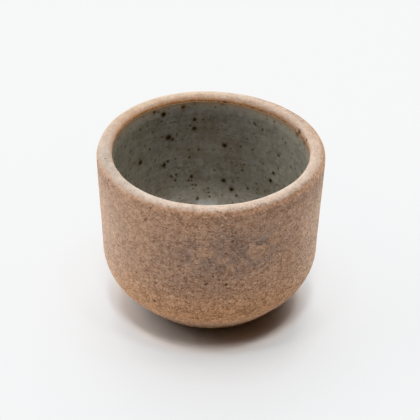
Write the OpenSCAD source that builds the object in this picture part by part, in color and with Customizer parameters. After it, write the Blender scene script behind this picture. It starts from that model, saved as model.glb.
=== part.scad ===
// Guinomi: a small handmade stoneware sake cup.
// A thrown clay body stands on a luted foot ring and has a glaze lining inside.
// Every piece is turned about the Z axis, and Z = 0 is the surface that the cup stands on.

/* [Body] */
// Outside diameter at the rim, before the lip is rounded
cup_d = 64.2; // [56:0.2:74]
// Height of the whole cup, from the table to the top of the lip
cup_h = 52; // [44:0.5:62]
// How much the outside radius shrinks from the rim down to the belly corner
wall_taper = 1.3; // [0:0.1:3]
// Height above the table of the corner where the wall would meet the underside
belly_h = 14.4; // [11:0.2:19]
// Radius that rounds the belly corner
belly_round = 13; // [6:0.5:18]
// How far outside the foot ring the underside would meet the flat base
base_reach = 3.7; // [3:0.1:6]
// Radius that rounds the underside into the flat base
base_round = 6.6; // [2:0.2:8]

/* [Lip] */
// Width of the clay at the rim
lip_w = 4.4; // [3.4:0.1:6]
// Radius of the lip's outer edge
lip_outer_round = 2.7; // [1:0.1:3.2]
// Radius of the lip's inner edge
lip_inner_round = 1.5; // [0.6:0.1:2.4]

/* [Bowl] */
// Width of the clay wall at the height of the belly corner
wall_low_w = 4.8; // [3.6:0.1:6.4]
// Thickness of the floor above the flat base
floor_t = 4.5; // [3:0.1:7]
// Radius between the floor and the wall inside
bowl_round = 15; // [8:0.5:18]

/* [Foot ring] */
// Outside diameter of the face that the cup stands on
foot_d = 34; // [28:0.5:40]
// Height of the ring
foot_h = 3; // [2:0.1:6]
// Width of the ring's standing face, before its edges are rounded
foot_w = 3.6; // [2.6:0.1:5]
// How much wider the ring is on each side where it is luted to the base
foot_flare = 0.4; // [0:0.1:1]
// Radius of the ring's two lower edges
foot_edge_round = 0.7; // [0.2:0.1:1]

/* [Glaze] */
// Thickness of the glaze
glaze_t = 0.4; // [0.2:0.05:0.8]
// How far below the lip's inner round the glaze ends
glaze_below_round = 0.6; // [0.2:0.1:3]

/* [Hidden] */
$fn = 180;

// Two rounds on one edge fill at most this share of it, so a large round gives way on a short edge
edge_fill_share = 0.98;
// Cutting shapes run this far past the face that they cut
overrun = 2;

rim_r = cup_d / 2;
mouth_r = rim_r - lip_w;
belly_r = rim_r - wall_taper;
foot_r = foot_d / 2;
foot_inner_r = foot_r - foot_w;
base_r = foot_r + base_reach;
floor_z = foot_h + floor_t;
// Sideways change of the inner wall for each unit of height, and its angle from upright
bowl_slope = (mouth_r - (belly_r - wall_low_w)) / (cup_h - belly_h);
bowl_angle = atan(bowl_slope);

// Plane geometry of one rounded corner b, between its neighbours a and c
function unit(v) = v / norm(v);
function half_angle(a, b, c) = acos(unit(a - b) * unit(c - b)) / 2;
function reach(a, b, c, r) = r / tan(half_angle(a, b, c));
function round_centre(a, b, c, r) = b + unit(unit(a - b) + unit(c - b)) * r / sin(half_angle(a, b, c));

// The corners of an outline are counted round and round
function at(list, i) = list[(i + len(list)) % len(list)];
function corner_reach(pts, rounds, i) =
    reach(at(pts, i - 1), at(pts, i), at(pts, i + 1), at(rounds, i));
function edge_room(pts, i) = edge_fill_share * norm(at(pts, i + 1) - at(pts, i));
function edge_need(pts, rounds, i) = corner_reach(pts, rounds, i) + corner_reach(pts, rounds, i + 1);
function edge_fit(pts, rounds, i) = min(1, edge_room(pts, i) / max(edge_need(pts, rounds, i), edge_room(pts, i)));
function fitted_round(pts, rounds, i) =
    at(rounds, i) * min(edge_fit(pts, rounds, i - 1), edge_fit(pts, rounds, i));

// Inner face of the wall at height z, moved inwards by inset
function bowl_r(z, inset) = mouth_r - (cup_h - z) * bowl_slope - inset / cos(bowl_angle);
function bowl_corners(inset) = [
    [0, floor_z + inset],
    [bowl_r(floor_z + inset, inset), floor_z + inset],
    [bowl_r(cup_h + overrun, inset), cup_h + overrun],
    [0, cup_h + overrun]
];
bowl_r_fitted = fitted_round(bowl_corners(0), [0, bowl_round, 0, 0], 1);
// The clay is drawn solid up to this height, where the bowl's wall is straight, and then hollowed
solid_z = floor_z + corner_reach(bowl_corners(0), [0, bowl_r_fitted, 0, 0], 1) + overrun;

body_corners = [
    [0, foot_h],
    [base_r, foot_h],
    [belly_r, belly_h],
    [rim_r, cup_h],
    [mouth_r, cup_h],
    [bowl_r(solid_z, 0), solid_z],
    [0, solid_z]
];
body_rounds = [0, base_round, belly_round, lip_outer_round, lip_inner_round, 0, 0];
lip_inner_depth = corner_reach(body_corners, body_rounds, 4);
glaze_top_z = cup_h - lip_inner_depth - glaze_below_round;

foot_corners = [
    [foot_inner_r - foot_flare, foot_h],
    [foot_inner_r, 0],
    [foot_r, 0],
    [foot_r + foot_flare, foot_h]
];
foot_rounds = [0, foot_edge_round, foot_edge_round, 0];

// A closed outline whose corners are rounded by true arcs
module rounded_outline(pts, rounds) {
    fitted = [for (i = [0:len(pts) - 1]) fitted_round(pts, rounds, i)];
    polygon([
        for (i = [0:len(pts) - 1])
            each corner_points(at(pts, i - 1), pts[i], at(pts, i + 1), fitted[i])
    ]);
    for (i = [0:len(pts) - 1])
        if (fitted[i] > 0)
            round_sector(at(pts, i - 1), pts[i], at(pts, i + 1), fitted[i]);
}

// A rounded corner is drawn as its two tangent points with the round's centre between them
function corner_points(a, b, c, r) = r == 0 ? [b] : [
    b + unit(a - b) * reach(a, b, c, r),
    round_centre(a, b, c, r),
    b + unit(c - b) * reach(a, b, c, r)
];

// and the slice of a disc that fills the corner
module round_sector(a, b, c, r) {
    intersection() {
        translate(round_centre(a, b, c, r)) circle(r = r);
        polygon([
            b + unit(a - b) * reach(a, b, c, r),
            b,
            b + unit(c - b) * reach(a, b, c, r),
            round_centre(a, b, c, r)
        ]);
    }
}

// The hollow of the bowl, inset from the clay by the thickness of what lines it
module bowl_hollow(inset) {
    rounded_outline(bowl_corners(inset), [0, bowl_r_fitted - inset, 0, 0]);
}

// Thrown body: upright wall, round lip, belly that turns in, and floor
module stoneware_body() {
    color([0.69, 0.53, 0.41])
        rotate_extrude()
            difference() {
                rounded_outline(body_corners, body_rounds);
                bowl_hollow(0);
            }
}

// Ring that the cup stands on, luted to the flat base
module foot_ring() {
    color([0.64, 0.48, 0.36])
        rotate_extrude() rounded_outline(foot_corners, foot_rounds);
}

// Glaze fused to the floor and the wall, up to the glaze line
module glaze_lining() {
    color([0.45, 0.47, 0.42])
        rotate_extrude()
            difference() {
                intersection() {
                    bowl_hollow(0);
                    square([rim_r, glaze_top_z]);
                }
                bowl_hollow(glaze_t);
            }
}

stoneware_body();
foot_ring();
glaze_lining();
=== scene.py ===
# %% [markdown]
# # A guinomi: a small sake cup of coarse stoneware
#
# The real cup is one handful of sandy clay, thrown on a wheel, stood on a luted foot ring, glazed inside
# and fired. Its construction is already drawn as three solids, and they are loaded first as a fixed
# frame. Everything made here dresses those solids: nothing is moved or resized. A reader who is learning
# Blender will meet four things: outlines that are bevelled and spun, the small unevenness of a hand-made
# thing, materials written as arithmetic, and soft light.

# %% Load the frame
import math

import bmesh
import bpy
from mathutils import Matrix, Vector, noise
from mathutils.bvhtree import BVHTree


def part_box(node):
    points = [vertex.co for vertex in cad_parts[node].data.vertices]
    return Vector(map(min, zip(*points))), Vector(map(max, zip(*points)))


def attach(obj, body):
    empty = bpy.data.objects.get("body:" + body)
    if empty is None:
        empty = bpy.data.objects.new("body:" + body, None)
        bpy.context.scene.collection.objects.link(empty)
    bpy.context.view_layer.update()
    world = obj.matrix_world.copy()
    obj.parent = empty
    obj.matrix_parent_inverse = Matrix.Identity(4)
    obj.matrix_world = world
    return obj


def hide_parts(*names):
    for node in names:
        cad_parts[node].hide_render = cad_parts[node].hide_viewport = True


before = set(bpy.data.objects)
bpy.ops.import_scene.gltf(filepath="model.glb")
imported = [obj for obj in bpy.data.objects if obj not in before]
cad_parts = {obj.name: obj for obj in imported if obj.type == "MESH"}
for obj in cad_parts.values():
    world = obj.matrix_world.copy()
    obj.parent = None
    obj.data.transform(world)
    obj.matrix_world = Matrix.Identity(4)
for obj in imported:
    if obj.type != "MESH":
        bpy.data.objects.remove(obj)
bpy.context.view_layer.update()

MM = 0.001
print("solids:", sorted(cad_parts))

# %% [markdown]
# ## Where the sizes come from
#
# The heights of the cup and of its foot are read from the solids' boxes. The outline's other sizes, such
# as the rounds of the lip and the belly, are the same named sizes that the solids were drawn with, in
# millimetres.

# %% Sizes of the cup
CUP_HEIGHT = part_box("stoneware_body")[1].z / MM
FOOT_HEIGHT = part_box("foot_ring")[1].z / MM
RIM_RADIUS = 32.1
BELLY_RADIUS = 30.8
BELLY_HEIGHT = 14.4
BELLY_ROUND = 13.0
BASE_RADIUS = 20.7
BASE_ROUND = 6.6
LIP_WIDTH = 4.4
LIP_OUTER_ROUND = 2.7
LIP_INNER_ROUND = 1.5
WALL_LOW_WIDTH = 4.8
FLOOR_THICKNESS = 4.5
BOWL_ROUND = 15.0
GLAZE_THICKNESS = 0.4
GLAZE_BELOW_ROUND = 0.6
FOOT_RADIUS = 17.0
FOOT_WIDTH = 3.6
FOOT_FLARE = 0.4
FOOT_EDGE_ROUND = 0.7

FLOOR_HEIGHT = FOOT_HEIGHT + FLOOR_THICKNESS
MOUTH_RADIUS = RIM_RADIUS - LIP_WIDTH
BOWL_SLOPE = (MOUTH_RADIUS - (BELLY_RADIUS - WALL_LOW_WIDTH)) / (CUP_HEIGHT - BELLY_HEIGHT)


def bowl_radius(height, inset=0.0):
    """Radius of the bowl's straight wall at a height, moved inwards by an inset."""
    return MOUTH_RADIUS - (CUP_HEIGHT - height) * BOWL_SLOPE - inset * math.hypot(1, BOWL_SLOPE)


print("cup", round(CUP_HEIGHT, 2), "mm high, foot", round(FOOT_HEIGHT, 2), "mm high")
print("mouth", round(2 * MOUTH_RADIUS, 2), "mm across")

# %% [markdown]
# ## The camera first
#
# The cup is seen from the front and above, through a long lens. The camera could be placed by eye, but
# then every later comparison would be in doubt, so its place is stated in plain quantities: how far it
# stands from the middle of the mouth, how high above the horizon that is, how steeply it looks down and
# how much it leans.

# %% Camera
FRAME_PIXELS = 420
SENSOR_WIDTH = 36.0
FOCAL_PIXELS = 1440.8
CLIP_START = 0.01
CLIP_END = 20.0
CAMERA_DISTANCE = 400.0
CAMERA_RISE = math.radians(32.11)
CAMERA_LOOK_DOWN = math.radians(34.69)
CAMERA_PAN = math.radians(0.03)
CAMERA_LEAN = math.radians(1.375)


def new_object(name, data):
    """A new object of the scene that shows this data."""
    made = bpy.data.objects.new(name, data)
    bpy.context.scene.collection.objects.link(made)
    return made


camera_data = bpy.data.cameras.new("camera")
camera_data.sensor_width = SENSOR_WIDTH
camera_data.lens = FOCAL_PIXELS * SENSOR_WIDTH / FRAME_PIXELS
camera_data.clip_start = CLIP_START
camera_data.clip_end = CLIP_END
camera = new_object("camera", camera_data)

towards_camera = Vector((0, -math.cos(CAMERA_RISE), math.sin(CAMERA_RISE)))
camera_place = (Vector((0, 0, CUP_HEIGHT)) + CAMERA_DISTANCE * towards_camera) * MM
camera_turn = (
    Matrix.Rotation(CAMERA_PAN, 4, "Z")
    @ Matrix.Rotation(math.pi / 2 - CAMERA_LOOK_DOWN, 4, "X")
    @ Matrix.Rotation(CAMERA_LEAN, 4, "Z")
)
camera.matrix_world = Matrix.Translation(camera_place) @ camera_turn
bpy.context.scene.camera = camera
print("lens", round(camera_data.lens, 1), "mm, placed at", [round(c, 3) for c in camera_place], "m")

# %% [markdown]
# ## An outline, rounded and spun
#
# A thrown pot is a solid of revolution, so its natural start is half a section: a chain of a few
# vertices. Each corner is rounded by a vertex bevel, which puts a true arc there, and the long edges are
# divided so that the surface has enough vertices to carry the unevenness of the clay. Then the chain is
# spun round the axis. A lathe curve or a Screw modifier would give the same shape, but the operator
# leaves a plain mesh that the next steps can shape further. One spin of 480 steps slows with the square
# of its steps, so one sector is spun and then copied all round.

# %% Helpers that draw and spin an outline
FEWEST_SEGMENTS = 3
SECTORS = 12
SAME_PLACE = 0.001


def corner_reach(before, corner, after, radius):
    """How far from a sharp corner its round begins."""
    angle = (before - corner).angle(after - corner)
    return radius / math.tan(angle / 2)


def draw_outline(bm, corners, spacing):
    """Draws the chain of corners (radius, height, round) in mm, rounds them and divides the edges."""
    places = [Vector((radius, 0, height)) for radius, height, _ in corners]
    chain = [bm.verts.new(place) for place in places]
    for first, second in zip(chain, chain[1:]):
        bm.edges.new((first, second))
    for i, (_, _, radius) in enumerate(corners):
        if radius == 0:
            continue
        reach = corner_reach(places[i - 1], places[i], places[i + 1], radius)
        turn = math.pi - (places[i - 1] - places[i]).angle(places[i + 1] - places[i])
        segments = max(FEWEST_SEGMENTS, math.ceil(radius * turn / spacing(places[i])))
        bmesh.ops.bevel(
            bm, geom=[chain[i]], affect="VERTICES", offset=reach, offset_type="OFFSET",
            segments=segments, profile=0.5, material=-1,
        )
    for edge in list(bm.edges):
        middle = (edge.verts[0].co + edge.verts[1].co) / 2
        cuts = math.ceil(edge.calc_length() / spacing(middle)) - 1
        if cuts > 0:
            bmesh.ops.subdivide_edges(bm, edges=[edge], cuts=cuts)


def spin_outline(bm, steps):
    """Spins the chain through one sector, copies it all round and merges the seams and the poles."""
    sector = 2 * math.pi / SECTORS
    bmesh.ops.spin(
        bm, geom=bm.verts[:] + bm.edges[:], cent=(0, 0, 0), axis=(0, 0, 1),
        angle=sector, steps=steps // SECTORS,
    )
    bmesh.ops.spin(
        bm, geom=bm.verts[:] + bm.edges[:] + bm.faces[:], cent=(0, 0, 0), axis=(0, 0, 1),
        angle=sector * (SECTORS - 1), steps=SECTORS - 1, use_duplicate=True,
    )
    bmesh.ops.remove_doubles(bm, verts=bm.verts[:], dist=SAME_PLACE)
    bmesh.ops.recalc_face_normals(bm, faces=bm.faces[:])


# %% [markdown]
# ## The hand in the clay
#
# No thrown cup is round. This one leans a little to the left. Its left side is pressed in and its back
# right side pulled out by a quarter of a millimetre. Its rim rises and falls, and its mouth sits nearer
# the front than its outside does, so the lip is thinner in front and thicker behind. The body and the
# glaze that lies on it must move together, so one function says how far any place on the cup is pushed
# out of true, and every piece asks it. The small waves come from Blender's own noise functions. They give
# the same value at the same place each time, so nothing has to be seeded.

# %% Unevenness of the thrown wall
LEAN_AT_RIM = -0.41
RIM_RISE_LEFT = -0.12
RIM_WAVE_FRONT = 0.07
RIM_WAVE_SIDE = -0.27
RIM_SETTLED = 0.10
OVAL = 0.07
OVAL_SIDEWAYS = 0.6
PRESSED_LEFT = 0.22
PRESSED_POWER = 2
PULLED_BACK_RIGHT = 0.25
PULLED_POWER = 4
WALL_WAVE = 0.10
WALL_WAVE_LENGTH = 17.0
LIP_WAVE = 0.07
LIP_WAVE_LENGTH = 5.0
RISE_WAVE_FROM = Vector((40, 0, 0))
MOUTH_FORWARD = 0.60
MOUTH_POWER = 1.5
UPRIGHT_FROM = 20.0
LEAST_RADIUS = 1e-6


def around(place):
    """Sine and cosine of the angle round the axis: sine is +1 on the right, cosine +1 at the back."""
    radius = max(math.hypot(place.x, place.y), LEAST_RADIUS)
    return place.x / radius, place.y / radius


def inside_share(place):
    """0 on the outside of the wall and 1 in the bowl, growing from the belly up to the rim."""
    depth = (bowl_radius(place.z) + LIP_WIDTH - math.hypot(place.x, place.y)) / LIP_WIDTH
    height = (place.z - UPRIGHT_FROM) / (CUP_HEIGHT - UPRIGHT_FROM)
    return min(1.0, max(0.0, depth)) ** MOUTH_POWER * max(0.0, height)


def pushed(place):
    """Where the hand-made cup has the point that a true one would have at this place, in mm."""
    right, back = around(place)
    share = place.z / CUP_HEIGHT
    sine_two, cosine_two = 2 * right * back, back * back - right * right
    rise = share * (-RIM_RISE_LEFT * right - RIM_WAVE_FRONT * cosine_two + RIM_WAVE_SIDE * sine_two)
    out = share * OVAL * (cosine_two + OVAL_SIDEWAYS * sine_two)
    out += share * WALL_WAVE * noise.noise(place / WALL_WAVE_LENGTH)
    out -= PRESSED_LEFT * max(0.0, -right) ** PRESSED_POWER
    out += share * PULLED_BACK_RIGHT * max(0.0, (right + back) / math.sqrt(2)) ** PULLED_POWER
    near_lip = max(0.0, 1 - (CUP_HEIGHT - place.z) / LIP_WAVE_LENGTH)
    out += near_lip * LIP_WAVE * noise.noise(place / LIP_WAVE_LENGTH)
    rise += near_lip * LIP_WAVE * noise.noise((place + RISE_WAVE_FROM) / LIP_WAVE_LENGTH)
    rise -= share * RIM_SETTLED
    spread = min(1.0, math.hypot(place.x, place.y) / FOOT_RADIUS)
    forward = MOUTH_FORWARD * inside_share(place)
    to_right = LEAN_AT_RIM * share + out * right * spread
    to_back = out * back * spread - forward
    return place + Vector((to_right, to_back, rise))


# %% The glaze's upper edge
GLAZE_EDGE = CUP_HEIGHT - corner_reach(
    Vector((RIM_RADIUS, 0, CUP_HEIGHT)),
    Vector((MOUTH_RADIUS, 0, CUP_HEIGHT)),
    Vector((bowl_radius(FLOOR_HEIGHT), 0, FLOOR_HEIGHT)),
    LIP_INNER_ROUND,
) - GLAZE_BELOW_ROUND
EDGE_DROP_RIGHT = 0.61
EDGE_WAVE = 0.17
EDGE_RAGGED = 0.16
EDGE_RAGGED_LENGTH = 2.2


def glaze_edge(place):
    """Height of the glaze's upper edge at this angle: it was poured and wiped, so it isn't level."""
    right, back = around(place)
    level = GLAZE_EDGE - EDGE_DROP_RIGHT * right + EDGE_WAVE * (back * back - right * right)
    on_wall = Vector((right, back, 0)) * MOUTH_RADIUS
    return level + EDGE_RAGGED * noise.noise(on_wall / EDGE_RAGGED_LENGTH)


print("glaze edge", round(CUP_HEIGHT - GLAZE_EDGE, 2), "mm below the rim")

# %% [markdown]
# ## Making a finished piece
#
# Each piece is drawn in millimetres, pushed out of true, and written to a mesh in metres whose object
# sits at the origin, as the solids' own objects do. Its shading is smooth, because the mesh is fine
# enough to carry its own form.

# %% Helper that finishes a piece
def finish_piece(bm, name, node):
    """Writes the bmesh to an object in metres that rides on the root and stands for a node."""
    bmesh.ops.scale(bm, vec=(MM, MM, MM), verts=bm.verts[:])
    bmesh.ops.recalc_face_normals(bm, faces=bm.faces[:])
    mesh = bpy.data.meshes.new(name)
    bm.to_mesh(mesh)
    bm.free()
    mesh.polygons.foreach_set("use_smooth", [True] * len(mesh.polygons))
    piece = new_object(name, mesh)
    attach(piece, "root")
    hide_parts(node)
    triangles = sum(len(face.vertices) - 2 for face in mesh.polygons)
    print(name, len(mesh.vertices), "vertices,", triangles, "triangles")
    return piece


# %% [markdown]
# ## The stoneware body
#
# The body's outline runs from the middle of the base, out along the underside, round the belly, up the
# wall, over the lip and down inside to the middle of the floor. The outside gets a vertex about every
# 0.45 mm, so that the sand that stands out of the clay can be real relief. The inside, which the glaze
# covers, needs only a few rows.

# %% Where the body's vertices lie
OUTSIDE_SPACING = 0.45
LIP_SPACING = 0.32
COVERED_SPACING = 3.0
BASE_SPACING = 1.5
SEEN_INSIDE = 3.6
SIDE_MARGIN = 0.6
FACE_MARGIN = 0.01


def in_bowl(radius, height):
    """Whether a place in the section is on the bowl's side of the wall."""
    if height < FLOOR_HEIGHT - SAME_PLACE or radius > bowl_radius(height) + SIDE_MARGIN:
        return False
    round_height = FLOOR_HEIGHT + BOWL_ROUND
    round_middle = Vector((bowl_radius(round_height) - BOWL_ROUND, round_height))
    past = Vector((radius, height)) - round_middle
    return past.x < 0 or past.y > 0 or past.length < BOWL_ROUND + SIDE_MARGIN


def body_spacing(place):
    """How far apart the outline's vertices are at a place."""
    if in_bowl(place.x, place.z) or abs(place.z - FLOOR_HEIGHT) < SAME_PLACE:
        return LIP_SPACING if place.z > CUP_HEIGHT - SEEN_INSIDE else COVERED_SPACING
    if place.z < FOOT_HEIGHT + FACE_MARGIN and place.x < BASE_RADIUS - BASE_ROUND / 2:
        return BASE_SPACING
    return LIP_SPACING if place.z > CUP_HEIGHT - LIP_OUTER_ROUND else OUTSIDE_SPACING


# %% Relief of the sand
GRAIN_HEIGHT = 0.07
GRAIN_LENGTH = 0.9
GRAIN_OCTAVES = 3
GRAIN_OCTAVE_STEP = 2.1
GRAIN_SOFTNESS = 0.9
PIT_DEPTH = 0.16
PIT_LENGTH = 1.5
PITS_FROM = Vector((7.3, 1.9, 4.1))
PIT_STARTS = 0.42
PIT_RANGE = 0.3
SMOOTHED_LIP = 2.8
SMOOTHED_TOP = 1.2
LIP_ROUGHNESS = 0.22
INSIDE_ROUGHNESS = 0.2
FOOT_CLEARANCE = 0.3


def grain_height(place):
    """Relief of the sandy surface: soft lumps, with small pits where sand was dragged out."""
    lumps = noise.fractal(place / GRAIN_LENGTH, GRAIN_SOFTNESS, GRAIN_OCTAVE_STEP, GRAIN_OCTAVES)
    pit = noise.noise(place / PIT_LENGTH + PITS_FROM)
    return lumps * GRAIN_HEIGHT - PIT_DEPTH * max(0.0, pit - PIT_STARTS) / PIT_RANGE


def grain_share(place, inside):
    """Share of the relief that is left at a place on the body: little on the lip and inside it."""
    if inside:
        return INSIDE_ROUGHNESS
    below_lip = max(0.0, CUP_HEIGHT - place.z - SMOOTHED_TOP)
    return min(1.0, LIP_ROUGHNESS + below_lip / SMOOTHED_LIP)


# %% Body
SPIN_STEPS = 480


def make_body():
    """The thrown clay, from the base to the floor inside."""
    bm = bmesh.new()
    corners = [
        (0, FOOT_HEIGHT, 0),
        (BASE_RADIUS, FOOT_HEIGHT, BASE_ROUND),
        (BELLY_RADIUS, BELLY_HEIGHT, BELLY_ROUND),
        (RIM_RADIUS, CUP_HEIGHT, LIP_OUTER_ROUND),
        (MOUTH_RADIUS, CUP_HEIGHT, LIP_INNER_ROUND),
        (bowl_radius(CUP_HEIGHT - SEEN_INSIDE), CUP_HEIGHT - SEEN_INSIDE, 0),
        (bowl_radius(FLOOR_HEIGHT), FLOOR_HEIGHT, BOWL_ROUND),
        (0, FLOOR_HEIGHT, 0),
    ]
    draw_outline(bm, corners, body_spacing)
    spin_outline(bm, SPIN_STEPS)
    true_places = [vertex.co.copy() for vertex in bm.verts]
    for vertex in bm.verts:
        vertex.co = pushed(vertex.co)
    bm.normal_update()
    past_glaze = bm.verts.layers.float.new("past_glaze")
    luted_radius = FOOT_RADIUS + FOOT_FLARE + FOOT_CLEARANCE
    for vertex, place in zip(bm.verts, true_places):
        radius = math.hypot(place.x, place.y)
        edge = glaze_edge(place)
        away = math.hypot(radius - bowl_radius(edge), place.z - edge)
        inside = in_bowl(radius, place.z)
        vertex[past_glaze] = -away if inside and place.z < edge else away
        under_foot = place.z < FOOT_HEIGHT + FACE_MARGIN and radius < luted_radius
        under_glaze = inside and place.z <= GLAZE_EDGE
        if not under_foot and not under_glaze:
            vertex.co += vertex.normal * (grain_share(place, inside) * grain_height(place))
    return finish_piece(bm, "stoneware_body_clay", "stoneware_body")


body = make_body()

# %% [markdown]
# ## The foot ring
#
# The ring is a coil of the same clay, luted to the flat base and trimmed on the wheel. Its standing face
# is flat, with softened edges, and it is scarcely wider where it joins the base.

# %% Foot ring
FOOT_SPACING = 0.5
FOOT_ROUGHNESS = 0.6
LUTED_IN = 0.05
STANDING_FACE = 0.02


def make_foot():
    """The luted ring that the cup stands on."""
    bm = bmesh.new()
    inner = FOOT_RADIUS - FOOT_WIDTH
    corners = [
        (inner - FOOT_FLARE, FOOT_HEIGHT + LUTED_IN, 0),
        (inner, 0, FOOT_EDGE_ROUND),
        (FOOT_RADIUS, 0, FOOT_EDGE_ROUND),
        (FOOT_RADIUS + FOOT_FLARE, FOOT_HEIGHT + LUTED_IN, 0),
    ]
    draw_outline(bm, corners, lambda place: FOOT_SPACING)
    ends = [vertex for vertex in bm.verts if vertex.co.z > FOOT_HEIGHT]
    bm.edges.new(ends)
    spin_outline(bm, SPIN_STEPS // 2)
    bm.normal_update()
    for vertex in bm.verts:
        if STANDING_FACE <= vertex.co.z < FOOT_HEIGHT:
            vertex.co += vertex.normal * FOOT_ROUGHNESS * grain_height(vertex.co)
    return finish_piece(bm, "foot_ring_clay", "foot_ring")


foot = make_foot()

# %% [markdown]
# ## The glaze
#
# The glaze is a coat of glass about 0.4 mm thick, which thins to nothing over the last few millimetres
# below its edge. It is made as a thin closed shell: one chain goes up the glaze's own surface from the
# middle of the floor, and another comes back along the clay, so the spin closes round the whole coat.
# Each vertex also keeps how far below the edge it lies, for the material to read.

# %% Glaze
GLAZE_SPACING = 0.7
GLAZE_EDGE_SPACING = 0.15
GLAZE_FEATHER = 3.4
GLAZE_FEATHER_ROUND = 8.0
GLAZE_THINNEST = 0.02
EDGE_REACH = 5.0


def glaze_spacing(place):
    """Fine rows at the thin edge, wider rows below."""
    return GLAZE_EDGE_SPACING if place.z > GLAZE_EDGE - GLAZE_FEATHER / 2 else GLAZE_SPACING


def make_glaze():
    """The glass lining, up to its uneven edge."""
    bm = bmesh.new()
    low, high = FLOOR_HEIGHT + GLAZE_THICKNESS, GLAZE_EDGE
    full = high - GLAZE_FEATHER
    surface = [
        (0, low, 0),
        (bowl_radius(low, GLAZE_THICKNESS), low, BOWL_ROUND - GLAZE_THICKNESS),
        (bowl_radius(full, GLAZE_THICKNESS), full, GLAZE_FEATHER_ROUND),
        (bowl_radius(high, GLAZE_THINNEST), high, 0),
    ]
    back = [
        (bowl_radius(high, GLAZE_THINNEST), high, 0),
        (bowl_radius(FLOOR_HEIGHT), FLOOR_HEIGHT, BOWL_ROUND),
        (0, FLOOR_HEIGHT, 0),
    ]
    draw_outline(bm, surface, glaze_spacing)
    draw_outline(bm, back, lambda place: COVERED_SPACING)
    bmesh.ops.remove_doubles(bm, verts=bm.verts[:], dist=SAME_PLACE)
    spin_outline(bm, SPIN_STEPS)
    below = bm.verts.layers.float.new("below_edge")
    for vertex in bm.verts:
        place = vertex.co.copy()
        edge = glaze_edge(place)
        share = max(0.0, 1 - (GLAZE_EDGE - place.z) / EDGE_REACH)
        raised = Vector((0, 0, (edge - GLAZE_EDGE) * share))
        vertex[below] = edge - place.z - raised.z
        vertex.co = pushed(place + raised)
    return finish_piece(bm, "glaze_lining_glass", "glaze_lining")


glaze = make_glaze()

# %% [markdown]
# ## Materials as arithmetic
#
# A material is a recipe: so much of one colour where a mask says so, a little roughness there. Blender
# builds it from nodes, and nodes can be wired one by one, but a long recipe is then hard to read. Here
# one small class wraps a node's output, and the usual signs do the sums: 1 - mask adds the Math node that
# it needs. Colours never go through a Math node, which would turn them grey. They go through Mix nodes.

# %% Wire: a node's output with arithmetic
class Wire:
    """The output of a node. Sums with other wires or numbers add Math nodes to the same material."""

    def __init__(self, socket):
        self.socket = socket

    def node(self, kind, settings=None, sockets=None, output=0):
        """Adds a node of any kind: its settings first, then the values or links of its sockets."""
        tree = self.socket.id_data
        made = tree.nodes.new(kind)
        for name, setting in (settings or {}).items():
            setattr(made, name, setting)
        for key, value in (sockets or {}).items():
            if isinstance(value, Wire):
                tree.links.new(value.socket, made.inputs[key])
            else:
                made.inputs[key].default_value = value
        return Wire(made.outputs[output])

    def other(self, output):
        """Another output of the same node."""
        return Wire(self.socket.node.outputs[output])

    def sum(self, operation, first, second):
        """One Math node."""
        return self.node("ShaderNodeMath", {"operation": operation}, {0: first, 1: second})

    def __add__(self, other):
        return self.sum("ADD", self, other)

    __radd__ = __add__

    def __mul__(self, other):
        return self.sum("MULTIPLY", self, other)

    __rmul__ = __mul__

    def __sub__(self, other):
        return self.sum("SUBTRACT", self, other)

    def __rsub__(self, other):
        return self.sum("SUBTRACT", other, self)

    def larger(self, other):
        """The larger of two values."""
        return self.sum("MAXIMUM", self, other)


# %% Colours and masks
def colour(red, green, blue):
    """A colour as it is read off a screen, 0 to 255, turned into the light that it stands for."""
    def light(part):
        part /= 255
        return part / 12.92 if part <= 0.04045 else ((part + 0.055) / 1.055) ** 2.4
    return (light(red), light(green), light(blue), 1)


def fade(wire, start, end):
    """0 before start and 1 past end, with a smooth change between. Start may be the larger."""
    settings = {"interpolation_type": "SMOOTHSTEP"}
    return wire.node("ShaderNodeMapRange", settings, {0: wire, 1: start, 2: end})


def band(wire, bottom, top, rise, fall):
    """1 between bottom and top, with a soft rise and fall inside them."""
    return fade(wire, bottom, bottom + rise) * fade(wire, top, top - fall)


def at_least(mask, least):
    """The mask, run from least to 1 instead of from 0."""
    return mask * (1 - least) + least


def blend(mask, first, second):
    """The first colour where the mask is 0, the second where it is 1."""
    return mask.node("ShaderNodeMix", {"data_type": "RGBA"}, {0: mask, 6: first, 7: second}, output=2)


def shaded(mask, paint, tint):
    """The paint multiplied by a tint as far as the mask says."""
    settings = {"data_type": "RGBA", "blend_type": "MULTIPLY"}
    return mask.node("ShaderNodeMix", settings, {0: mask, 6: paint, 7: tint}, output=2)


# %% Places and patterns in space
MIXED_SIZES = 0.9
SMALLEST_SIZE = 0.35
GRAIN_OUTER, GRAIN_INNER = 1.25, 0.6
SPOT_OUTER, SPOT_INNER = 1.55, 0.45
LOT_MARGIN = 0.01


def sides(place):
    """How far right, back and up a place is, as three wires."""
    across = place.node("ShaderNodeSeparateXYZ", {}, {0: place})
    return across, across.other("Y"), across.other("Z")


def shifted(place, x, y, z):
    """The place moved, so that two patterns from one texture don't lie on each other."""
    return place.node("ShaderNodeVectorMath", {"operation": "ADD"}, {0: place, 1: (x, y, z)})


def stretched(place, x, y, z):
    """The place multiplied along each axis: below 1, a pattern is drawn out along that axis."""
    return place.node("ShaderNodeVectorMath", {"operation": "MULTIPLY"}, {0: place, 1: (x, y, z)})


def cloudy(place, length, detail=2.0, roughness=0.5):
    """Soft noise from about 0.2 to 0.8, whose patches are about a length across, in mm."""
    sockets = {"Vector": place, "Scale": 1 / length, "Detail": detail, "Roughness": roughness}
    return place.node("ShaderNodeTexNoise", {}, sockets)


def patches(place, length, start, end, detail=2.0, roughness=0.5):
    """A mask of soft patches: 0 where the noise is at start and 1 at end."""
    return fade(cloudy(place, length, detail, roughness), start, end)


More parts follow.
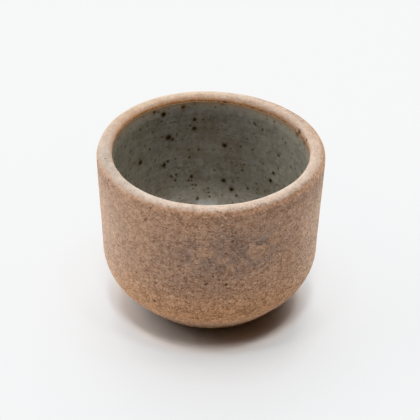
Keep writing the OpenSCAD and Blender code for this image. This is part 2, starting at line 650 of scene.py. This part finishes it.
def scattered(place, spacing, radius, share):
    """A mask of round grains of mixed sizes: one in each cell of a spacing, in a share of the cells."""
    sockets = {"Vector": place, "Scale": 1 / spacing, "Randomness": 1.0}
    distance = place.node("ShaderNodeTexVoronoi", {}, sockets)
    lots = distance.node("ShaderNodeSeparateColor", {}, {0: distance.other("Color")})
    reach = (lots.other("Green") * MIXED_SIZES + SMALLEST_SIZE) * radius
    inside = fade(distance * spacing, reach * GRAIN_OUTER, reach * GRAIN_INNER)
    return inside * fade(lots, share + LOT_MARGIN, share - LOT_MARGIN)


def ruffled(place, length, amount):
    """The place shaken by noise, so that what is drawn there isn't round or straight, in mm."""
    sockets = {"Vector": place, "Scale": 1 / length, "Detail": 1.0}
    shake = place.node("ShaderNodeTexNoise", {}, sockets, output=1)
    middle = shifted(place, -amount, -amount, -amount)
    sockets = {0: shake, 1: (2 * amount, 2 * amount, 2 * amount), 2: middle}
    return place.node("ShaderNodeVectorMath", {"operation": "MULTIPLY_ADD"}, sockets)


def spots(place, marks):
    """A mask of spots at chosen places: each mark is a centre and a radius, in mm."""
    mask = None
    for centre, radius in marks:
        sockets = {0: place, 1: centre}
        away = place.node("ShaderNodeVectorMath", {"operation": "DISTANCE"}, sockets, output=1)
        spot = fade(away, radius * SPOT_OUTER, radius * SPOT_INNER)
        mask = spot if mask is None else mask.larger(spot)
    return mask


# %% A material and what it reads and drives
def new_finish(name):
    """A material, its place on the object in mm, and its surface shader."""
    finish = bpy.data.materials.new(name)
    finish.use_nodes = True
    tree = finish.node_tree
    coordinates = Wire(tree.nodes.new("ShaderNodeTexCoord").outputs["Object"])
    place = stretched(coordinates, 1 / MM, 1 / MM, 1 / MM)
    return finish, place, tree.nodes["Principled BSDF"]


def carried(place, name):
    """A number that each vertex of the piece carries under a name."""
    return place.node("ShaderNodeAttribute", {"attribute_name": name}, {}, output=2)


def wear(finish, wire, shader, socket):
    """Links a wire to a socket of the surface shader."""
    finish.node_tree.links.new(wire.socket, shader.inputs[socket])


def raise_relief(finish, relief, shader, strength, depth):
    """Links a relief to the shader's normal through a Bump node. The depth is in mm."""
    sockets = {"Strength": strength, "Distance": depth * MM, "Height": relief}
    wear(finish, relief.node("ShaderNodeBump", {}, sockets), shader, "Normal")


def put_on(finish, piece):
    """Gives a piece its material."""
    piece.data.materials.append(finish)
    print(piece.name, "wears", finish.name, "of", len(finish.node_tree.nodes), "nodes")


# %% [markdown]
# ## Marks that can be pointed at
#
# Most of the specks in such clay could lie anywhere, but the largest ones are what makes this cup this
# cup. Each is named by where it is seen in the picture, and a ray from the camera through that point
# finds where it lies on the cup's own surface. From then on it belongs to the surface and stays there
# from any side.

# %% Rays from the camera to the cup
PIXEL_MIDDLE = 0.5


def seen_at(tree, x, y):
    """The place on a piece, in mm, that the camera sees at a pixel, or None."""
    half = FRAME_PIXELS / 2
    direction = camera_turn.to_3x3() @ Vector((x - half, half - y, -FOCAL_PIXELS))
    hit, _, _, _ = tree.ray_cast(camera_place, direction.normalized())
    return None if hit is None else hit / MM


def marks_on(piece, seen):
    """Turns (x, y, radius in mm) seen in the picture into centres and radii on the piece."""
    tree = BVHTree.FromObject(piece, bpy.context.evaluated_depsgraph_get())
    marks = []
    for x, y, radius in seen:
        place = seen_at(tree, x + PIXEL_MIDDLE, y + PIXEL_MIDDLE)
        if place is not None:
            marks.append((tuple(place), radius))
    print(piece.name, "has", len(marks), "of", len(seen), "marks")
    return marks


# %% [markdown]
# ## The clay, seen close
#
# The body is a sandy stoneware. Fired, it is a warm brown ground that drifts to ochre and to grey,
# thickly strewn with fine dark grains, hair cracks and paler sand. A picture wrapped round the cup could
# show that too, but it would have a seam and would stretch under the base. A pattern in space has
# neither: every point takes the colour that the clay has there, as if the cup were cut from a block of
# it.

# %% Clay: the ground
CLAY_BROWN = colour(199, 166, 143)
CLAY_OCHRE = colour(220, 181, 150)
CLAY_GREY = colour(176, 156, 144)
OCHRE_SHARE = 0.45
GREY_SHARE = 0.25
BLOTCH_LENGTH = 13.0


def clay_ground(place):
    """Brown clay that drifts to ochre and to grey."""
    ochre = patches(place, BLOTCH_LENGTH, 0.40, 0.62)
    grey = patches(shifted(place, 41, 12, 5), BLOTCH_LENGTH, 0.46, 0.68)
    return blend(grey * GREY_SHARE, blend(ochre * OCHRE_SHARE, CLAY_BROWN, CLAY_OCHRE), CLAY_GREY)


# %% Clay: grains, cracks and sand
MOTTLE_DARK = (0.52, 0.45, 0.40, 1)
MOTTLE_WARM = colour(236, 186, 146)
DARK_GRAIN = colour(108, 84, 68)
PALE_SAND = colour(228, 200, 170)
IRON_SPECK = colour(78, 56, 46)
LUMP_LENGTH = 1.0
DENT_LENGTH = 0.46
STREAK_LENGTH = 0.8
WARM_LENGTH = 1.5
DRY_LENGTH = 1.7
CRACK_LENGTH = 0.9
CRACK_EDGE, CRACK_HEART = 0.0042, 0.0006
CLAY_SHARE = {
    "warm": 0.32, "lumps": 0.32, "dents": 0.38, "streaks": 0.24,
    "cracks": 0.66, "sand": 0.52, "grains": 0.52, "specks": 0.60,
}
CLAY_RELIEF = {"lumps": 0.6, "dents": 0.6, "streaks": 0.3, "sand": 0.3, "grains": -0.5, "cracks": -0.5}


def strewn(place, paint, rough, fine):
    """A paint strewn with mottling, grains, sand and specks, and the relief that they make."""
    loose = ruffled(place, length=0.45, amount=0.40)
    lumps = cloudy(place, LUMP_LENGTH, detail=3.0, roughness=0.6)
    dents = cloudy(shifted(place, 3, 8, 1), DENT_LENGTH, roughness=0.6)
    streaks = cloudy(stretched(place, 0.3, 0.3, 1.0), STREAK_LENGTH)
    winding = cloudy(stretched(shifted(place, 4, 4, 19), 0.8, 0.8, 1.0), CRACK_LENGTH) - 0.5
    dry = patches(shifted(place, 22, 5, 5), DRY_LENGTH, 0.36, 0.54)
    warm = patches(shifted(place, 12, 31, 7), WARM_LENGTH, 0.46, 0.70, detail=3.0, roughness=0.65)
    layers = {
        "lumps": lumps,
        "dents": dents,
        "streaks": streaks,
        "cracks": fade(winding * winding, CRACK_EDGE, CRACK_HEART) * dry * fine,
        "sand": scattered(shifted(loose, 17, 3, 9), spacing=0.95, radius=0.27, share=0.40) * fine,
        "grains": scattered(loose, spacing=0.80, radius=0.26, share=0.65) * fine,
    }
    specks = scattered(shifted(loose, 5, 23, 2), spacing=3.4, radius=0.34, share=0.35) * rough
    paint = blend(warm * rough * CLAY_SHARE["warm"], paint, MOTTLE_WARM)
    paint = shaded(fade(lumps, 0.58, 0.36) * rough * CLAY_SHARE["lumps"], paint, MOTTLE_DARK)
    paint = shaded(fade(dents, 0.56, 0.42) * fine * CLAY_SHARE["dents"], paint, MOTTLE_DARK)
    paint = shaded(fade(streaks, 0.60, 0.34) * rough * CLAY_SHARE["streaks"], paint, MOTTLE_DARK)
    paint = shaded(layers["cracks"] * CLAY_SHARE["cracks"], paint, MOTTLE_DARK)
    paint = blend(layers["sand"] * CLAY_SHARE["sand"], paint, PALE_SAND)
    paint = blend(layers["grains"] * CLAY_SHARE["grains"], paint, DARK_GRAIN)
    paint = blend(specks * CLAY_SHARE["specks"], paint, IRON_SPECK)
    return paint, sum(layers[name] * height for name, height in CLAY_RELIEF.items())


# %% [markdown]
# ## The lip and the flash line
#
# The maker pressed the lip smooth with a wet leather, which closed the sand under a fine paler skin.
# Where the glaze ends, its vapour has coloured the bare clay next to it: a soft orange band a millimetre
# or two wide, with a broken brown line right at the glaze. The line has to follow the glaze's uneven
# edge, and no pattern in space can know where that is. So when the body was made, each of its points was
# given its distance from the edge, and the material reads that. A pair of numbers, such as LIP_LEFT, says
# where a fade starts and where it is full, in mm.

# %% Clay: the lip
LIP_SKIN = colour(235, 216, 199)
LIP_SKIN_GREY = colour(223, 210, 197)
LIP_SIDES_TINT = (0.79, 0.775, 0.76, 1)
LIP_BACK = (0.92, 0.945, 0.945, 1)
LIP_OCHRE = (1.0, 0.965, 0.905, 1)
LIP_FROM = 51.5
LIP_TILT = 0.022
LIP_FADE_BELOW, LIP_FADE_ABOVE = 1.0, 0.3
LIP_INSIDE = 2.6
LIP_LEFT = (-4.0, -22.0)
LIP_FRONT = (6.0, -8.0)
LIP_FAR = (8.0, 26.0)
OCHRE_FAR = (2.0, 16.0)
OCHRE_LEFT = (10.0, -10.0)
LIP_DARKER_SIDES = (14.0 ** 2, 29.0 ** 2)
RIGHT_LESS_DARK = (5.0, 20.0)
LIP_SHARE = {"grey clouds": 0.25, "grey left": 0.6, "right less dark": 0.50, "streaks": 0.26}


def lip_mask(place, across, height, past_glaze):
    """1 on the smoothed lip, with a soft uneven lower edge outside, and down to the glaze inside."""
    edge = cloudy(place, 2.2, detail=4.0, roughness=0.7) - 0.5 + across * LIP_TILT + LIP_FROM
    outside = fade(height, edge - LIP_FADE_BELOW, edge + LIP_FADE_ABOVE)
    return outside.larger(fade(past_glaze, LIP_INSIDE + 1, LIP_INSIDE))


def lip_paint(place, across, deep):
    """The pale skin: greyer front left, darker at the sides, ochre far left, streaked all round."""
    clouds = patches(place, 7.0, 0.40, 0.62) * LIP_SHARE["grey clouds"]
    greyer = clouds + fade(across, *LIP_LEFT) * fade(deep, *LIP_FRONT) * LIP_SHARE["grey left"]
    skin = blend(greyer, LIP_SKIN, LIP_SKIN_GREY)
    # The lip is painted darker at its sides, less so on the right.
    sides_darker = fade(across * across, *LIP_DARKER_SIDES)
    sides_darker = sides_darker * (1 - fade(across, *RIGHT_LESS_DARK) * LIP_SHARE["right less dark"])
    skin = shaded(sides_darker, skin, LIP_SIDES_TINT)
    skin = shaded(fade(deep, *LIP_FAR), skin, LIP_BACK)
    skin = shaded(fade(deep, *OCHRE_FAR) * fade(across, *OCHRE_LEFT), skin, LIP_OCHRE)
    streaks = patches(stretched(place, 0.22, 0.22, 1.0), 0.5, 0.60, 0.35, detail=3.0)
    return shaded(streaks * LIP_SHARE["streaks"], skin, MOTTLE_DARK)


# %% Clay: what the glaze's vapour did
FLASH_ORANGE = colour(214, 158, 114)
EDGE_BROWN = colour(128, 92, 68)
FLASH_WIDTH = 1.5
FLASH_OFFSET = 0.35
FLASH_LEAST = 0.4
FLASH_HEART = 0.05
FLUSH_REACH = (3.6, 0.4)
FLUSH_FAR = (-6.0, 8.0)
TRIM_FRONT = (0.0, -12.0)
TRIM_BAND = {"bottom": 49.8, "top": 51.5, "rise": 0.9, "fall": 0.7}
BREAK_REACH = (0.9, 0.1)
VAPOUR_SHARE = {"flush": 0.55, "trim": 0.30, "flash": 0.9, "breaks": 0.70, "edge": 0.12}


def drips(place):
    """Noise drawn out downwards, as a glaze runs."""
    return cloudy(stretched(place, 1.0, 1.0, 0.25), 0.8, detail=3.0, roughness=0.6)


def flash(place, past_glaze):
    """How strongly the vapour has coloured the clay: in a soft band, stronger in places."""
    wander = cloudy(place, 1.6) + drips(place) - FLASH_OFFSET
    wandering = wander * FLASH_WIDTH + FLASH_WIDTH * FLASH_LEAST
    strength = at_least(patches(shifted(place, 9, 30, 4), 9.0, 0.30, 0.55), 0.5)
    return fade(past_glaze, wandering, wandering * FLASH_HEART) * strength


def vaporised(place, deep, height, past_glaze, paint):
    """The paint with a flush on the far lip, a warm trim in front, the flash line and its breaks."""
    flushed = patches(shifted(place, 7, 13, 3), 1.5, 0.36, 0.62, detail=3.0, roughness=0.6)
    flush = fade(past_glaze, *FLUSH_REACH) * fade(deep, *FLUSH_FAR) * flushed
    paint = blend(flush * VAPOUR_SHARE["flush"], paint, FLASH_ORANGE)
    trim = band(height, **TRIM_BAND) * flushed * fade(deep, *TRIM_FRONT)
    paint = blend(trim * VAPOUR_SHARE["trim"], paint, FLASH_ORANGE)
    paint = blend(flash(place, past_glaze) * VAPOUR_SHARE["flash"], paint, FLASH_ORANGE)
    breaks = patches(shifted(place, 11, 3, 7), 0.7, 0.44, 0.62, detail=3.0, roughness=0.6)
    browned = breaks * VAPOUR_SHARE["breaks"] + VAPOUR_SHARE["edge"]
    return blend(fade(past_glaze, *BREAK_REACH) * browned, paint, EDGE_BROWN)


# %% [markdown]
# ## The body's own colouring
#
# The kiln has coloured the body unevenly: the belly is warmer and a grey cloud lies on the front. The
# base under it is painted darker and greyer as painted shade, and the two flanks paler as a painted
# sheen. Under the lip it is a little darker. The foot ring is of the same clay, with the same painted
# shade.

# %% Clay: the body's ground
CLAY_CLOUD = colour(170, 149, 138)
CLAY_WARM = colour(250, 194, 144)
# The pale flank colour below is a painted sheen, for the light that the left and right flanks catch.
PAINTED_FLANK_SHEEN = colour(240, 210, 184)
# Painted shade: the clay is painted darker and greyer towards the base and under the belly.
PAINTED_BASE_SHADE = (0.36, 0.405, 0.48, 1)
BASE_SHADE_REACH = (12.0, 3.0)
WARM_BELLY = (28.0, 11.0)
WARM_ABOVE_BASE = (7.0, 15.0)
SHEEN_LEFT = (-20.0, -32.0)
SHEEN_RIGHT = (21.0, 32.0)
SHEEN_BELOW = (49.0, 38.0)
UNDER_LIP = {"bottom": 46.5, "top": 50.6, "rise": 2, "fall": 1}
GROUND_SHARE = {"cloud": 0.82, "warm": 0.72, "base_shade": 0.9, "left": 0.68, "right": 0.9, "under_lip_darkening": 0.28}


def with_base_shade(height, paint):
    """The paint, darker and greyer towards the base, as painted shade."""
    return shaded(fade(height, *BASE_SHADE_REACH) * GROUND_SHARE["base_shade"], paint, PAINTED_BASE_SHADE)


def body_ground(place, across, height, clouds):
    """The ground with its grey cloud, warm belly, painted shade at the base, painted sheen on the flanks,
    darker under the lip.
    """
    broken = patches(place, 4.0, 0.34, 0.56, detail=3.0)
    ground = blend(broken * spots(place, clouds) * GROUND_SHARE["cloud"], clay_ground(place), CLAY_CLOUD)
    warm = fade(height, *WARM_BELLY) * at_least(fade(height, *WARM_ABOVE_BASE), 0.1)
    ground = with_base_shade(height, blend(warm * GROUND_SHARE["warm"], ground, CLAY_WARM))
    # Painted sheen: the left and right flanks are painted paler, more so lower down.
    left, right = fade(across, *SHEEN_LEFT), fade(across, *SHEEN_RIGHT)
    painted_sheen = left * GROUND_SHARE["left"] + right * GROUND_SHARE["right"]
    ground = blend(painted_sheen * at_least(fade(height, *SHEEN_BELOW), 0.2), ground, PAINTED_FLANK_SHEEN)
    # A band under the lip is painted a little darker.
    under_lip_darkening = patches(shifted(place, 2, 2, 30), 2.4, 0.40, 0.60, detail=3.0)
    return shaded(band(height, **UNDER_LIP) * under_lip_darkening * GROUND_SHARE["under_lip_darkening"], ground, MOTTLE_DARK)


# %% Clay: marks and the whole finish
GREY_CLOUDS_SEEN = [(201, 259, 5.5), (229, 256, 7.5), (257, 250, 6.5)]
WALL_IRON_SEEN = [
    (145, 219, 0.50), (150, 207, 0.35), (196, 227, 0.30), (222, 227, 0.30), (166, 228, 0.30),
    (232, 241, 0.35), (118, 245, 0.35), (226, 284, 0.40), (205, 284, 0.35), (154, 300, 0.40),
    (155, 282, 0.35), (105, 158, 0.30), (108, 180, 0.35), (102, 178, 0.30), (299, 131, 0.75),
    (306, 140, 0.45), (224, 102, 0.60),
]
QUIET_LEFT = (-24.0, -10.0)
QUIET_SHARE = 0.8
SANDIER_BELOW = (36.0, 22.0)
SANDIER = 0.14
SMOOTHED_ROUGH, SMOOTHED_FINE = 0.80, 0.56
IRON_SHARE = 0.75
CLAY_ROUGHNESS = 0.72
CLAY_DULLNESS = 1.0
CLAY_BUMP, CLAY_BUMP_DEPTH = 0.5, 0.07


def body_clay(place, clouds, specks):
    """The body's paint and relief, from the ground to the iron."""
    across, deep, height = sides(place)
    past_glaze = carried(place, "past_glaze")
    lip = lip_mask(place, across, height, past_glaze)
    skin = blend(lip, body_ground(place, across, height, clouds), lip_paint(place, across, deep))
    quiet = at_least(fade(across, *QUIET_LEFT), QUIET_SHARE)
    sandy = quiet * (fade(height, *SANDIER_BELOW) * SANDIER + 1.0)
    rough, fine = sandy * (1 - lip * SMOOTHED_ROUGH), sandy * (1 - lip * SMOOTHED_FINE)
    paint, relief = strewn(place, skin, rough, fine)
    paint = vaporised(place, deep, height, past_glaze, paint)
    iron = spots(ruffled(place, length=0.6, amount=0.35), specks)
    return blend(iron * IRON_SHARE, paint, IRON_SPECK), relief


def foot_clay(place):
    """The foot's paint and relief: the same clay, darker and greyer as the base is, in painted shade."""
    _, _, height = sides(place)
    return strewn(place, with_base_shade(height, clay_ground(place)), 1.0, 1.0)


def clay_finish(piece, name, clouds=(), specks=()):
    """The whole material of the clay: the body's if there are clouds to place, or else the foot's."""
    finish, place, shader = new_finish(name)
    paint, relief = body_clay(place, clouds, specks) if clouds else foot_clay(place)
    wear(finish, paint, shader, "Base Color")
    shader.inputs["Roughness"].default_value = CLAY_ROUGHNESS
    shader.inputs["Diffuse Roughness"].default_value = CLAY_DULLNESS
    raise_relief(finish, relief, shader, CLAY_BUMP, CLAY_BUMP_DEPTH)
    put_on(finish, piece)


clay_finish(body, "stoneware_clay", marks_on(body, GREY_CLOUDS_SEEN), marks_on(body, WALL_IRON_SEEN))
clay_finish(foot, "foot_ring_clay")

# %% [markdown]
# ## The glaze, seen close
#
# The glaze is a thin, half-matt, grey-green glass with brown clouds, curds and the rings of the throwing.
# Iron from the clay has risen into it as brown-black spots with soft halos, and as a fine peppering.
# Where it ran thin at its edge it breaks to tan, and where it pooled at the bottom it is paler. Real
# glass over real clay would need two layers of light passing through each other, which is slow and noisy
# for a coat this cloudy. A painted colour under a gloss gives the same look at this thickness.

# %% Glaze: the ground
GLAZE_GREEN = colour(156, 155, 150)
GLAZE_BROWN = colour(151, 145, 138)
GLAZE_POOL = colour(198, 192, 180)
# The pale glaze colour below is painted light on the inner right wall, and a paler tone on the left.
GLAZE_PALE_AND_LIT = colour(175, 173, 162)
GLAZE_THIN = colour(186, 168, 146)
GLAZE_CLOUD = (0.66, 0.62, 0.57, 1)
GLAZE_SLATE = (0.92, 0.92, 0.97, 1)
# This bluish white is a painted glint: a reflection of the lights, low in the bowl.
GLAZE_PAINTED_GLINT = colour(222, 228, 230)
GLAZE_LIT_RIGHT = (6.0, 27.0)
GLAZE_LEFT = (-14.0, -26.0)
POOLED = (26.0, 9.0)
THIN_REACH = (3.4, 0.4)
THIN_LEFT = (-8.0, -25.0)
GLAZE_SHARE = {
    "brown": 0.7, "right": 0.9, "left": 0.8, "runs": 0.14, "rings": 0.20, "slate": 0.5,
    "curds": 0.42, "murk": 0.30, "thin": 0.30, "thin left": 0.20, "glint": 0.34,
}


def glaze_ground(place, rings, below_edge, glint_marks):
    """Grey-green glass, brown by turns, paler left, painted light right, ringed, curdled, thin-edged, a
    painted glint.
    """
    across, _, height = sides(place)
    brown = patches(place, 7.0, 0.44, 0.62, detail=3.0)
    paint = blend(brown * GLAZE_SHARE["brown"], GLAZE_GREEN, GLAZE_BROWN)
    # Painted light: the inner right wall is painted paler for the light from the left that falls on it.
    left, right = fade(across, *GLAZE_LEFT), fade(across, *GLAZE_LIT_RIGHT)
    paint = blend(right * GLAZE_SHARE["right"] + left * GLAZE_SHARE["left"], paint, GLAZE_PALE_AND_LIT)
    paint = blend(fade(height, *POOLED), paint, GLAZE_POOL)
    runs = patches(stretched(place, 1.0, 1.0, 0.22), 1.6, 0.62, 0.34, detail=3.0)
    paint = shaded(runs * GLAZE_SHARE["runs"], paint, MOTTLE_DARK)
    paint = shaded(fade(rings, 0.60, 0.38) * GLAZE_SHARE["rings"], paint, MOTTLE_DARK)
    slate = patches(shifted(place, 3, 17, 8), 3.4, 0.46, 0.62, detail=3.0)
    paint = shaded(slate * GLAZE_SHARE["slate"], paint, GLAZE_SLATE)
    curds = patches(shifted(place, 6, 6, 2), 1.3, 0.58, 0.38, detail=3.0, roughness=0.6)
    paint = shaded(curds * GLAZE_SHARE["curds"], paint, GLAZE_CLOUD)
    murk = patches(shifted(place, 14, 9, 21), 2.2, 0.48, 0.62, detail=4.0, roughness=0.65)
    paint = shaded(murk * GLAZE_SHARE["murk"], paint, GLAZE_CLOUD)
    thin = fade(across, *THIN_LEFT) * GLAZE_SHARE["thin left"] + GLAZE_SHARE["thin"]
    paint = blend(fade(below_edge, *THIN_REACH) * thin, paint, GLAZE_THIN)
    # A painted glint where the lights reflect low in the bowl, behind the near lip.
    return blend(spots(place, glint_marks) * GLAZE_SHARE["glint"], paint, GLAZE_PAINTED_GLINT)


# %% Glaze: iron and the tan edge
GLAZE_IRON = colour(22, 13, 9)
GLAZE_RUST = colour(74, 52, 38)
GLAZE_HALO = colour(84, 68, 56)
GLAZE_TAN = colour(162, 136, 112)
HALO_WIDTH = 1.8
TAN_REACH = 3.4
TAN_BARE = 0.3
SPOT_SHARE = {"pepper": 0.62, "freckles": 0.50, "halo": 0.48, "rust": 0.75, "iron": 0.97, "tan": 0.8}


def ironed(place, paint, iron, rust):
    """The paint with pepper and freckles, and the spots that can be pointed at."""
    loose = ruffled(place, length=0.6, amount=0.25)
    pepper = scattered(loose, spacing=1.6, radius=0.34, share=0.90)
    freckles = scattered(shifted(loose, 8, 1, 15), spacing=3.3, radius=0.44, share=0.80)
    halo = spots(loose, [(centre, radius * HALO_WIDTH) for centre, radius in iron])
    paint = blend(pepper * SPOT_SHARE["pepper"], paint, GLAZE_HALO)
    paint = blend(freckles * SPOT_SHARE["freckles"], paint, GLAZE_HALO)
    paint = blend(halo * SPOT_SHARE["halo"], paint, GLAZE_HALO)
    paint = blend(spots(loose, rust) * SPOT_SHARE["rust"], paint, GLAZE_RUST)
    return blend(spots(loose, iron) * SPOT_SHARE["iron"], paint, GLAZE_IRON)


def tanned(place, below_edge, paint):
    """The paint, broken to tan where the glaze runs out at its edge."""
    reach = drips(place) * TAN_REACH - TAN_BARE
    return blend(fade(below_edge, reach, 0.0) * SPOT_SHARE["tan"], paint, GLAZE_TAN)


# %% Glaze: marks and the whole finish
GLAZE_IRON_SEEN = [
    (168, 137, 0.70), (163, 114, 0.60), (140, 162, 0.62), (163.6, 164.4, 0.50), (167.4, 160.8, 0.38),
    (194, 119, 0.42), (194, 128, 0.52), (224, 145, 0.55), (223, 180, 0.52), (231, 189, 0.50),
    (270, 180, 0.48), (183, 106, 0.45), (191, 176, 0.40), (194, 102.4, 0.40), (154, 111.4, 0.45),
    (172, 139, 0.35), (297, 133, 0.65), (304, 142, 0.45), (222, 102.5, 0.50), (273, 172.6, 0.42),
]
GLAZE_RUST_SEEN = [
    (236, 195, 0.48), (197, 198, 0.55), (209, 196, 0.42), (171, 176, 0.42), (176, 174, 0.38),
    (175, 180, 0.42), (188, 180, 0.38), (191, 180, 0.38), (262, 129, 0.42), (278, 155, 0.45),
    (244, 164, 0.38), (242, 170, 0.42), (152, 132, 0.38), (149, 149, 0.42), (140, 129, 0.35),
    (255, 124, 0.38), (203, 119, 0.30), (295, 168, 0.35), (284, 185, 0.35), (198, 149, 0.40),
    (189, 157, 0.42), (252, 149, 0.38), (292, 153, 0.32), (247, 188, 0.40), (240, 146, 0.30),
    (125, 146, 0.32), (128, 175, 0.35), (150, 168, 0.30), (190, 125, 0.30), (158, 111.2, 0.34),
    (265, 177, 0.28), (282, 138, 0.30), (214, 170, 0.34), (254, 165, 0.30), (274, 121, 0.30),
]
# Three pale spots behind the near lip: a painted glint, a reflection of the lights.
GLAZE_GLINT_SEEN = [(201, 203.4, 1.5), (207, 204.4, 1.7), (213, 205.2, 1.4)]
GLOSS_LEAST, GLOSS_RANGE = 0.20, 0.16
RING_RELIEF = 0.5
GLAZE_BUMP, GLAZE_BUMP_DEPTH = 0.35, 0.05


def glaze_finish(piece, iron, rust, glint_marks):
    """The whole material of the glaze."""
    finish, place, shader = new_finish("grey_green_glaze")
    below_edge = carried(place, "below_edge")
    rings = cloudy(stretched(place, 0.10, 0.10, 1.0), 0.8)
    paint = ironed(place, glaze_ground(place, rings, below_edge, glint_marks), iron, rust)
    wear(finish, tanned(place, below_edge, paint), shader, "Base Color")
    wear(finish, cloudy(place, 3.0) * GLOSS_RANGE + GLOSS_LEAST, shader, "Roughness")
    ripple = cloudy(place, 1.3) + rings * RING_RELIEF
    raise_relief(finish, ripple, shader, GLAZE_BUMP, GLAZE_BUMP_DEPTH)
    put_on(finish, piece)


glaze_finish(
    glaze,
    marks_on(glaze, GLAZE_IRON_SEEN),
    marks_on(glaze, GLAZE_RUST_SEEN),
    marks_on(glaze, GLAZE_GLINT_SEEN),
)

# %% [markdown]
# ## The floor
#
# The cup stands on a seamless white sheet, 2 m across, which lies a hair under the foot so that the two
# faces don't share one plane. The sheet is painted a little darker near the cup, where a real sweep gets
# less light, than far off, and a little warmer right under the belly, which glows on it.

# %% Floor
FLOOR_SIDE = 2.0
FLOOR_GAP = 0.02
SWEEP_SHADED = (0.845, 0.857, 0.866, 1)
SWEEP_WHITE = (0.978, 0.971, 0.963, 1)
SWEEP_UNDER = (0.950, 0.885, 0.840, 1)
SWEEP_ROUGHNESS = 0.9
PAST_BELLY = (25.0, 30.5)
FAR_OFF = (32.0, 120.0)


def make_floor():
    """The white sheet that the cup stands on."""
    bm = bmesh.new()
    bmesh.ops.create_grid(bm, x_segments=1, y_segments=1, size=FLOOR_SIDE / 2)
    bmesh.ops.translate(bm, verts=bm.verts, vec=(0, 0, -FLOOR_GAP * MM))
    mesh = bpy.data.meshes.new("floor")
    bm.to_mesh(mesh)
    bm.free()
    floor = new_object("floor", mesh)
    return floor


def floor_finish(piece):
    """White paper, darker near the cup and warmer under it."""
    finish, place, shader = new_finish("white_sweep")
    away = place.node("ShaderNodeVectorMath", {"operation": "LENGTH"}, {0: place}, output=1)
    near = blend(fade(away, *PAST_BELLY), SWEEP_UNDER, SWEEP_SHADED)
    wear(finish, blend(fade(away, *FAR_OFF), near, SWEEP_WHITE), shader, "Base Color")
    shader.inputs["Roughness"].default_value = SWEEP_ROUGHNESS
    put_on(finish, piece)


floor_finish(make_floor())

# %% [markdown]
# ## Light
#
# The picture's light can be read off the white surface. The shadow under the belly ends at the same
# radius all round, in a fairly sharp edge, so small lamps stand in front and at the sides about seventy
# degrees up, where a ray just clears the belly and lands there. The shadow is darkest in front, so more
# light comes from behind and from the left than from the camera's side. It is softer behind, so those
# lights are large. The sky is almost dark, with a pale band at the horizon that stands for the studio's
# walls. The paper is nearly white without being burnt out, as in a printed catalogue, so the view has a
# curve with a soft shoulder.

# %% Sky and view
SKY_STRENGTH = 0.01
BAND_STRENGTH = 0.95
BAND_EDGE = (0.12, 0.03)

bpy.context.scene.view_settings.view_transform = "Khronos PBR Neutral"
world = bpy.data.worlds.new("studio")
bpy.context.scene.world = world
world.use_nodes = True
sky = world.node_tree.nodes["Background"]
direction = Wire(world.node_tree.nodes.new("ShaderNodeTexCoord").outputs["Generated"])
_, _, upward = sides(direction)
sky_strength = fade(upward, *BAND_EDGE) * (BAND_STRENGTH - SKY_STRENGTH) + SKY_STRENGTH
world.node_tree.links.new(sky_strength.socket, sky.inputs["Strength"])
sky.inputs["Color"].default_value = (1, 1, 1, 1)
print("sky", SKY_STRENGTH, "overhead and", BAND_STRENGTH, "at the horizon")

# %% Lamps and softboxes
COOL_WHITE = (0.985, 1.0, 1.008)
LIGHT_DISTANCE = 1.2


def softbox(name, azimuth, elevation, size, power):
    """A square softbox that faces the cup. Azimuth 0 is in front, 90 on the right, in degrees."""
    a, e = math.radians(azimuth), math.radians(elevation)
    away = Vector((math.sin(a) * math.cos(e), -math.cos(a) * math.cos(e), math.sin(e)))
    light = bpy.data.lights.new(name, "AREA")
    light.shape = "SQUARE"
    light.size = size
    light.energy = power
    light.color = COOL_WHITE
    lamp = new_object(name, light)
    target = Vector((0, 0, CUP_HEIGHT / 2 * MM))
    facing = away.to_track_quat("Z", "Y").to_matrix().to_4x4()
    lamp.matrix_world = Matrix.Translation(target + away * LIGHT_DISTANCE) @ facing
    lamp.visible_camera = False


# Name, azimuth and elevation in degrees, side in metres, power in watts
LIGHTS = [
    ("front_top_softbox", 0, 68, 0.2, 3.5),
    ("front_top_lamp", 0, 72, 0.08, 1.0),
    ("front_left_lamp", 310, 72, 0.08, 1.2),
    ("front_right_lamp", 50, 72, 0.08, 1.6),
    ("right_top_lamp", 90, 72, 0.08, 0.6),
    ("right_low_softbox", 90, 10, 1.0, 1.05),
    ("back_right_top_softbox", 120, 70, 0.7, 2.8),
    ("back_right_softbox", 135, 45, 0.7, 1.1),
    ("back_top_softbox", 180, 70, 0.7, 2.3),
    ("back_softbox", 180, 45, 0.7, 5.7),
    ("back_left_softbox", 225, 45, 0.7, 3.5),
    ("left_softbox", 270, 45, 0.7, 3.8),
    ("left_low_softbox", 270, 10, 1.0, 3.9),
]
for row in LIGHTS:
    softbox(*row)
print(len(LIGHTS), "lights")
